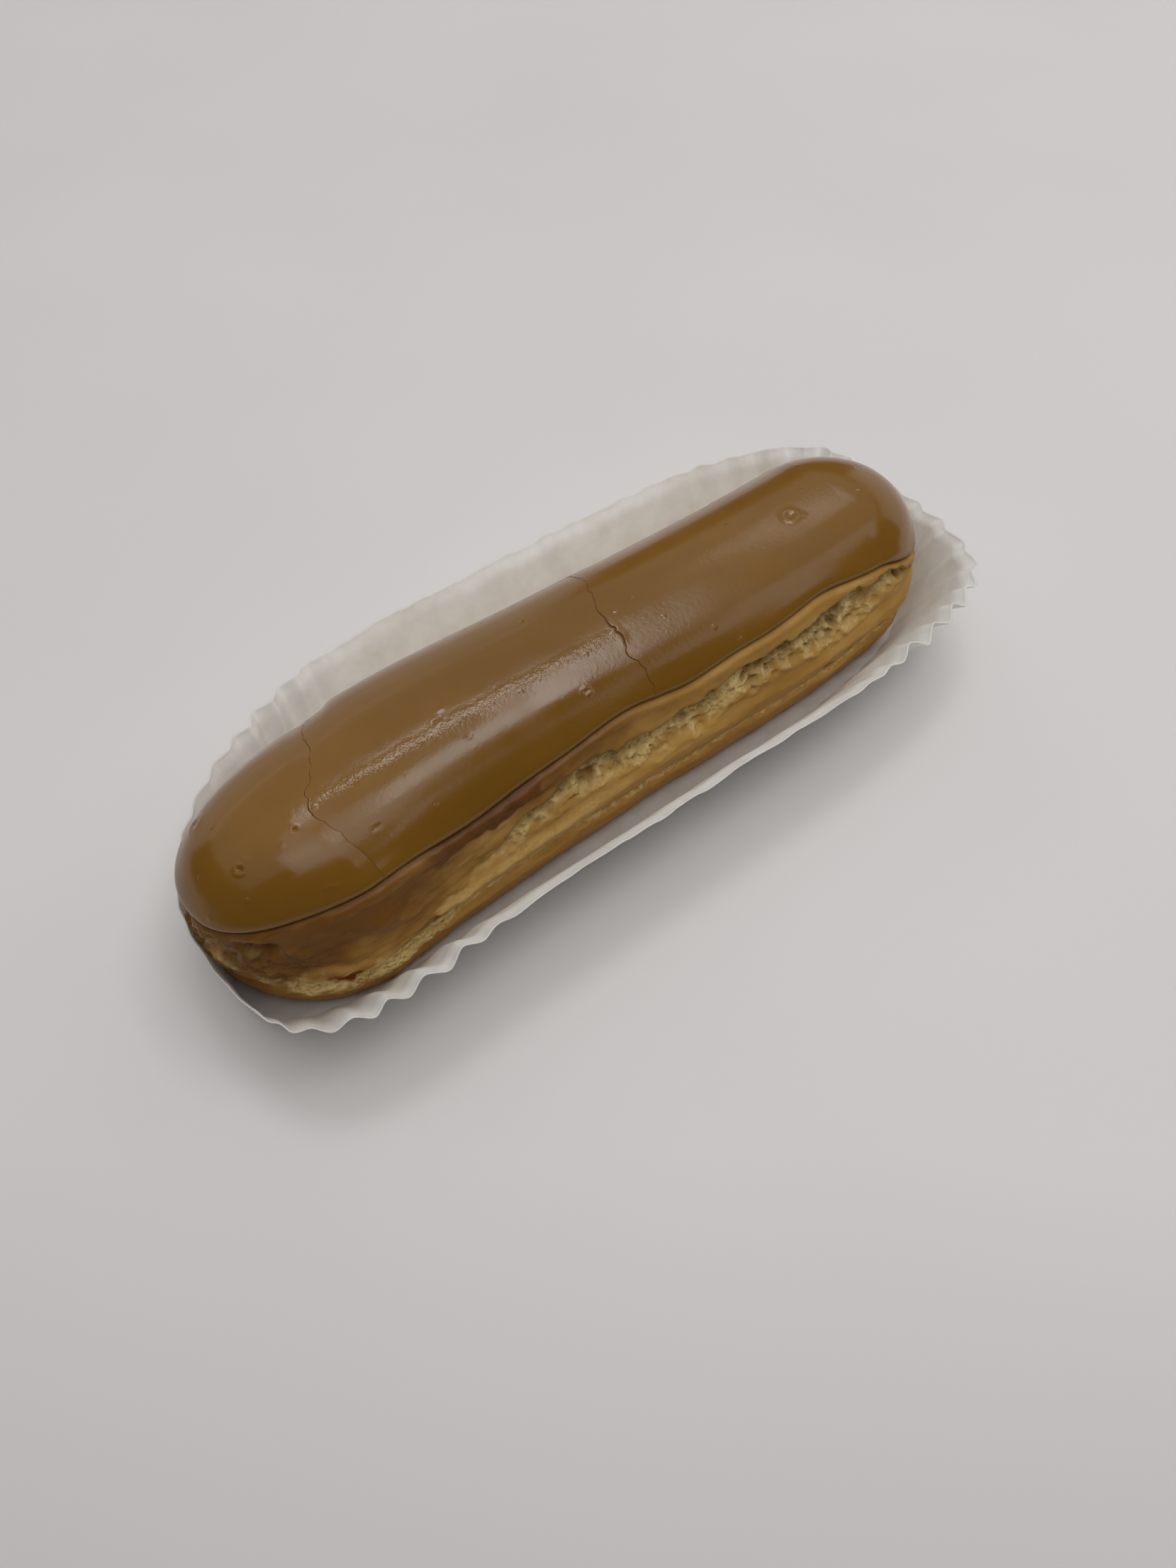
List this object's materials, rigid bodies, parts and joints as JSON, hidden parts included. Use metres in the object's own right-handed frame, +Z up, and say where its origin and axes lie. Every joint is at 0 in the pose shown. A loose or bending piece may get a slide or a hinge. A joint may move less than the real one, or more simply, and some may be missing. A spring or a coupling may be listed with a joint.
{
  "type": "eclair",
  "caption": "Coffee eclair: a long choux bun with ridged, torn sides under a glossy coffee icing that has cracked across, in its white pleated oblong paper case.",
  "frame": {"origin": "on the table, under the middle of the paper case", "axes": "+X along the eclair towards the lower end of its icing, +Y across it, +Z up from the table"},
  "size_m": [0.1534, 0.0648, 0.0339],
  "materials": {
    "choux": "baked choux crust, golden and dry, with pale torn crumb",
    "icing": "semi-gloss coffee fondant icing",
    "paper": "thin white greaseproof paper, slightly translucent"
  },
  "bodies": {
    "root": {"choux_bun": "choux", "coffee_icing": "icing", "paper_case": "paper"}
  },
  "joints": []
}
